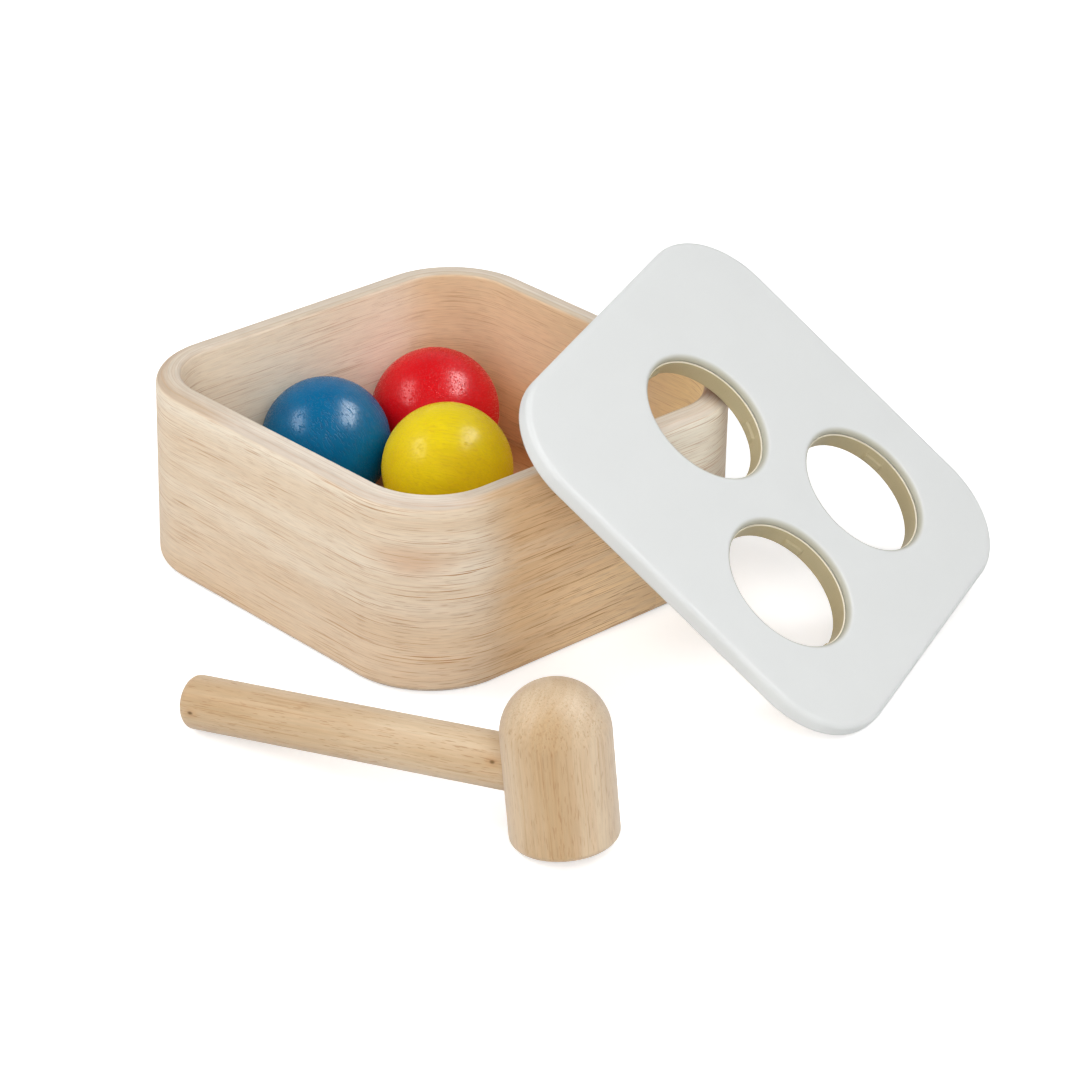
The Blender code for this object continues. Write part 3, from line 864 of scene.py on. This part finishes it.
def liner_mesh(turn):
    """A ring whose inner face swells into three catches."""
    low = -LID_DEPTH
    outer = LINER_RADIUS + LINER_WALL
    inner = LINER_RADIUS + LINER_ROUND
    nub_low = low + NUB_RISE
    nub_high = nub_low + NUB_HEIGHT
    shoulder = BEAD_TOP - BEAD_HEIGHT
    bead = LINER_RADIUS + BEAD_WIDTH
    bead_round = BEAD_TOP - BEAD_ROUND
    profile = arc(bead - BEAD_ROUND, bead_round, BEAD_ROUND, 90, 0, LINER_EDGE_STEPS) + [(bead, shoulder)]
    profile += arc(outer - LINER_ROUND, shoulder - LINER_ROUND, LINER_ROUND, 90, 0, LINER_EDGE_STEPS)
    profile += arc(outer - LINER_ROUND, low + LINER_ROUND, LINER_ROUND, 0, -90, LINER_EDGE_STEPS)
    profile += arc(inner, low + LINER_ROUND, LINER_ROUND, 270, 180, LINER_FOOT_STEPS)
    for start in (nub_low, nub_high - NUB_SLOPE):
        slope = np.linspace(start, start + NUB_SLOPE, NUB_POINTS)
        profile += [(LINER_RADIUS, height) for height in slope]
    profile += arc(LINER_RADIUS + BEAD_ROUND, bead_round, BEAD_ROUND, 180, 90, LINER_EDGE_STEPS)
    points = revolved(profile, LINER_STEPS)
    angle = np.degrees(np.linspace(0.0, 2 * math.pi, LINER_STEPS, endpoint=False)) - turn
    apart = 360 / NUB_COUNT
    from_nub = np.radians(np.abs((angle + apart / 2) % apart - apart / 2)) * LINER_RADIUS
    across = ease((NUB_WIDTH / 2 - from_nub) / NUB_SLOPE)
    radius, height = np.array(profile).T
    up = ease((height - nub_low) / NUB_SLOPE) * ease((nub_high - height) / NUB_SLOPE)
    reach = NUB_REACH * across[:, None] * (up * (radius <= LINER_RADIUS + FINE_MERGE))[None, :]
    points[..., :2] *= (1.0 - reach / radius)[..., None]
    bm = bmesh.new()
    add_sheet(bm, points)
    return as_mesh(bm, "liner_ring")


def build_lid():
    place, holes = lid_frame()
    add_piece("lid_board", lid_mesh(holes), paint(place), "lid", "lid_panel", place)
    dress("lid_register", wood("register_beech", grain_in(place), BOX_TONES, BOARD_ROUGHNESS))
    look = liner_finish(place)
    for side, centre in holes.items():
        at_hole = place @ Matrix.Translation((*centre, 0.0))
        name = "hole_liner_" + side
        add_piece("liner_ring_" + side, liner_mesh(LINER_TURNS[side]), look, "lid", name, at_hole)


# Balls
def ball_mesh(name, radius):
    """A ball from a finely cut cube, so its faces are even all round."""
    bm = bmesh.new()
    bmesh.ops.create_cube(bm, size=2.0)
    bmesh.ops.subdivide_edges(bm, edges=bm.edges, cuts=BALL_CUTS, use_grid_fill=True)
    for vert in bm.verts:
        even = Vector([math.tan(value * math.pi / 4) for value in vert.co])
        vert.co = even.normalized() * radius
    return as_mesh(bm, name)


def build_balls():
    for colour, tones in BALL_TONES.items():
        low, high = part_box("ball_" + colour)
        name = colour + "_turned_ball"
        place = Matrix.Translation((low + high) / 2) @ Euler(BALL_TURNS[colour]).to_matrix().to_4x4()
        stain = wood(colour + "_stained_wood", grain_in(place), tones, BALL_ROUGHNESS, BALL_FIGURE,
                     BALL_GRAIN[colour], BALL_SHINE[colour])
        mesh = ball_mesh(name, (high.x - low.x) / 2)
        add_piece(name, mesh, stain, colour + "_ball", "ball_" + colour, place)


# Hammer
def hammer_frame():
    """The hammer's place, from its handle: X along the handle, Z up the head's axis."""
    points = np.array([vert.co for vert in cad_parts["hammer_handle"].data.vertices])
    points = np.unique(points.round(POINT_DECIMALS), axis=0)
    middle = points.mean(axis=0)
    along = np.linalg.svd(points - middle)[2][0]
    head_low, head_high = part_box("hammer_head")
    if np.dot(along, middle - np.array((head_low + head_high) / 2)) < 0:
        along = -along
    tenon = Vector(middle + along * ((points - middle) @ along).min())
    x_axis = Vector(along)
    z_axis = (Vector((0.0, 0.0, 1.0)) - x_axis * x_axis.z).normalized()
    y_axis = z_axis.cross(x_axis)
    place = Matrix((x_axis, y_axis, z_axis)).transposed().to_4x4()
    place.translation = tenon + x_axis * TENON_PAST_AXIS - z_axis * HANDLE_HEIGHT
    return place


def turned(name, profile):
    """A solid turned about Z from a profile that starts and ends on the axis."""
    bm = bmesh.new()
    add_sheet(bm, revolved(profile, TURN_STEPS), wrap_section=False)
    bmesh.ops.remove_doubles(bm, verts=bm.verts, dist=FINE_MERGE)
    bmesh.ops.dissolve_degenerate(bm, edges=bm.edges, dist=FINE_MERGE)
    return as_mesh(bm, name)


def head_profile():
    dome = arc(0.0, HEAD_LENGTH - HEAD_RADIUS, HEAD_RADIUS, 90, 0, DOME_STEPS)
    dome[0] = (0.0, HEAD_LENGTH)        # exactly on the axis
    return dome + arc(HEAD_RADIUS - HEAD_EDGE, HEAD_EDGE, HEAD_EDGE, 0, -90, ROUND_STEPS) + [(0.0, 0.0)]


def handle_profile():
    end = arc(HANDLE_RADIUS - HANDLE_EDGE, HANDLE_REACH - HANDLE_EDGE, HANDLE_EDGE, 90, 0, ROUND_STEPS)
    return [(0.0, HANDLE_REACH)] + end + [(HANDLE_RADIUS, -TENON_PAST_AXIS), (0.0, -TENON_PAST_AXIS)]


def socket_profile():
    radius = HANDLE_RADIUS + GAP
    low = -TENON_PAST_AXIS - GAP
    return [(0.0, HANDLE_REACH), (radius, HANDLE_REACH), (radius, low), (0.0, low)]


def cut_socket(mesh, along_handle):
    """Cut the handle's blind hole out of the head's mesh."""
    head = new_object("head_blank", mesh)
    tool = new_object("socket_tool", turned("socket_tool", socket_profile()))
    tool.matrix_world = along_handle
    cut = head.modifiers.new("socket", 'BOOLEAN')
    cut.object = tool
    cut.solver = 'EXACT'
    bpy.context.view_layer.update()
    made = bpy.data.meshes.new_from_object(head.evaluated_get(bpy.context.evaluated_depsgraph_get()))
    for obj in (head, tool):
        bpy.data.objects.remove(obj, do_unlink=True)
    return made


def build_hammer():
    place = hammer_frame()
    to_handle = Matrix.Translation((0.0, 0.0, HANDLE_HEIGHT))
    along_handle = to_handle @ Matrix.Rotation(math.pi / 2, 4, 'Y')
    up_head = place @ Matrix.Rotation(-math.pi / 2, 4, 'Y')
    head_wood = wood("head_beech", grain_in(up_head), HAMMER_TONES, HAMMER_ROUGHNESS, HAMMER_FIGURE,
                     HEAD_CONTRAST, HAMMER_SHINE, HAMMER_SHEEN, growth_rings)
    head = cut_socket(turned("turned_head", head_profile()), along_handle)
    add_piece("turned_head", head, head_wood, "hammer", "hammer_head", place)
    handle_axis = place @ to_handle
    handle_wood = wood("handle_beech", grain_in(handle_axis), HAMMER_TONES, HAMMER_ROUGHNESS, HAMMER_FIGURE,
                       shine=HAMMER_SHINE, sheen=HAMMER_SHEEN, extra=knotted_rings)
    handle = turned("turned_handle", handle_profile())
    add_piece("turned_handle", handle, handle_wood, "hammer", "hammer_handle",
              place @ along_handle)


# Stage
def shown_white(tree):
    """1 where a ray comes from the camera, a reflection or glass."""
    path = node(tree, "LightPath")
    seen = math_node(tree, 'MAXIMUM', path.outputs["Is Camera Ray"], path.outputs["Is Glossy Ray"])
    return math_node(tree, 'MAXIMUM', seen, path.outputs["Is Transmission Ray"])


def build_floor():
    bm = bmesh.new()
    bmesh.ops.create_grid(bm, x_segments=1, y_segments=1, size=FLOOR_HALF)
    floor = new_object("floor", as_mesh(bm, "floor"))
    floor.location.z = -FLOOR_DROP
    made, tree = new_material("white_floor")
    tree.nodes.remove(tree.nodes["Principled BSDF"])
    diffuse = node(tree, "BsdfDiffuse", {"Color": (FLOOR_SHADE, FLOOR_SHADE, FLOOR_SHADE, 1.0)}).outputs[0]
    reach = length(tree, node(tree, "TexCoord").outputs["Object"])
    lift = span(tree, reach, *FLOOR_LIFT_SPAN, FLOOR_LIFT, FAR_FLOOR_LIFT)
    glow = node(tree, "Emission", {"Strength": product(tree, shown_white(tree), lift)}).outputs[0]
    both = node(tree, "AddShader", {0: diffuse, 1: glow}).outputs[0]
    tree.links.new(both, tree.nodes["Material Output"].inputs["Surface"])
    floor.data.materials.append(made)


def build_world():
    """A sky that lights evenly and is white where it is seen.

    Reflections show a white backdrop in a dim room.
    """
    world = bpy.data.worlds.new("studio")
    world.use_nodes = True
    bpy.context.scene.world = world
    tree = world.node_tree
    path = node(tree, "LightPath")
    direction = node(tree, "TexCoord").outputs["Generated"]
    facing = node(tree, "VectorMath", {0: direction, 1: BACKDROP_SIDE}, operation='DOT_PRODUCT')
    room = span(tree, facing.outputs["Value"], *BACKDROP_SPAN, MIRRORED_ROOM, 1.0)
    level = between(tree, path.outputs["Is Glossy Ray"], SKY_LEVEL, room)
    seen = math_node(tree, 'MAXIMUM', path.outputs["Is Camera Ray"], path.outputs["Is Transmission Ray"])
    sky = tree.nodes["Background"]
    tree.links.new(between(tree, seen, level, 1.0), sky.inputs["Strength"])
    sky.inputs["Color"].default_value = WHITE


def add_lamp(name, towards, size, level, long_axis=(0.0, 0.0, 1.0), lights=True, mirrored=True):
    """A softbox that lights a white surface facing it to a level, where 1 is white."""
    lamp = bpy.data.lights.new(name, 'AREA')
    lamp.shape = 'RECTANGLE'
    lamp.size, lamp.size_y = size
    lamp.energy = level * math.pi ** 2 * LAMP_DISTANCE ** 2
    obj = new_object(name, lamp)
    direction = Vector(towards).normalized()
    side = Vector(long_axis).cross(direction).normalized()
    turn = Matrix((side, direction.cross(side), direction)).transposed().to_4x4()
    obj.matrix_world = Matrix.Translation(Vector(CAMERA_TARGET) + direction * LAMP_DISTANCE) @ turn
    obj.visible_diffuse = lights
    obj.visible_glossy = mirrored


def add_camera():
    lens = bpy.data.cameras.new("camera")
    lens.sensor_width = SENSOR
    lens.lens = SENSOR * FOCAL_PIXELS / IMAGE_SIZE
    camera = new_object("camera", lens)
    place = Vector(CAMERA_PLACE)
    turn = (Vector(CAMERA_TARGET) - place).to_track_quat('-Z', 'Y').to_matrix()
    camera.matrix_world = Matrix.Translation(place) @ (turn @ Matrix.Rotation(CAMERA_ROLL, 3, 'Z')).to_4x4()
    bpy.context.scene.camera = camera


build_box()
build_lid()
build_balls()
build_hammer()
build_floor()
build_world()
for lamp_name, settings in LAMPS.items():
    add_lamp(lamp_name, **settings)
add_camera()
bpy.context.scene.view_settings.view_transform = 'Standard'
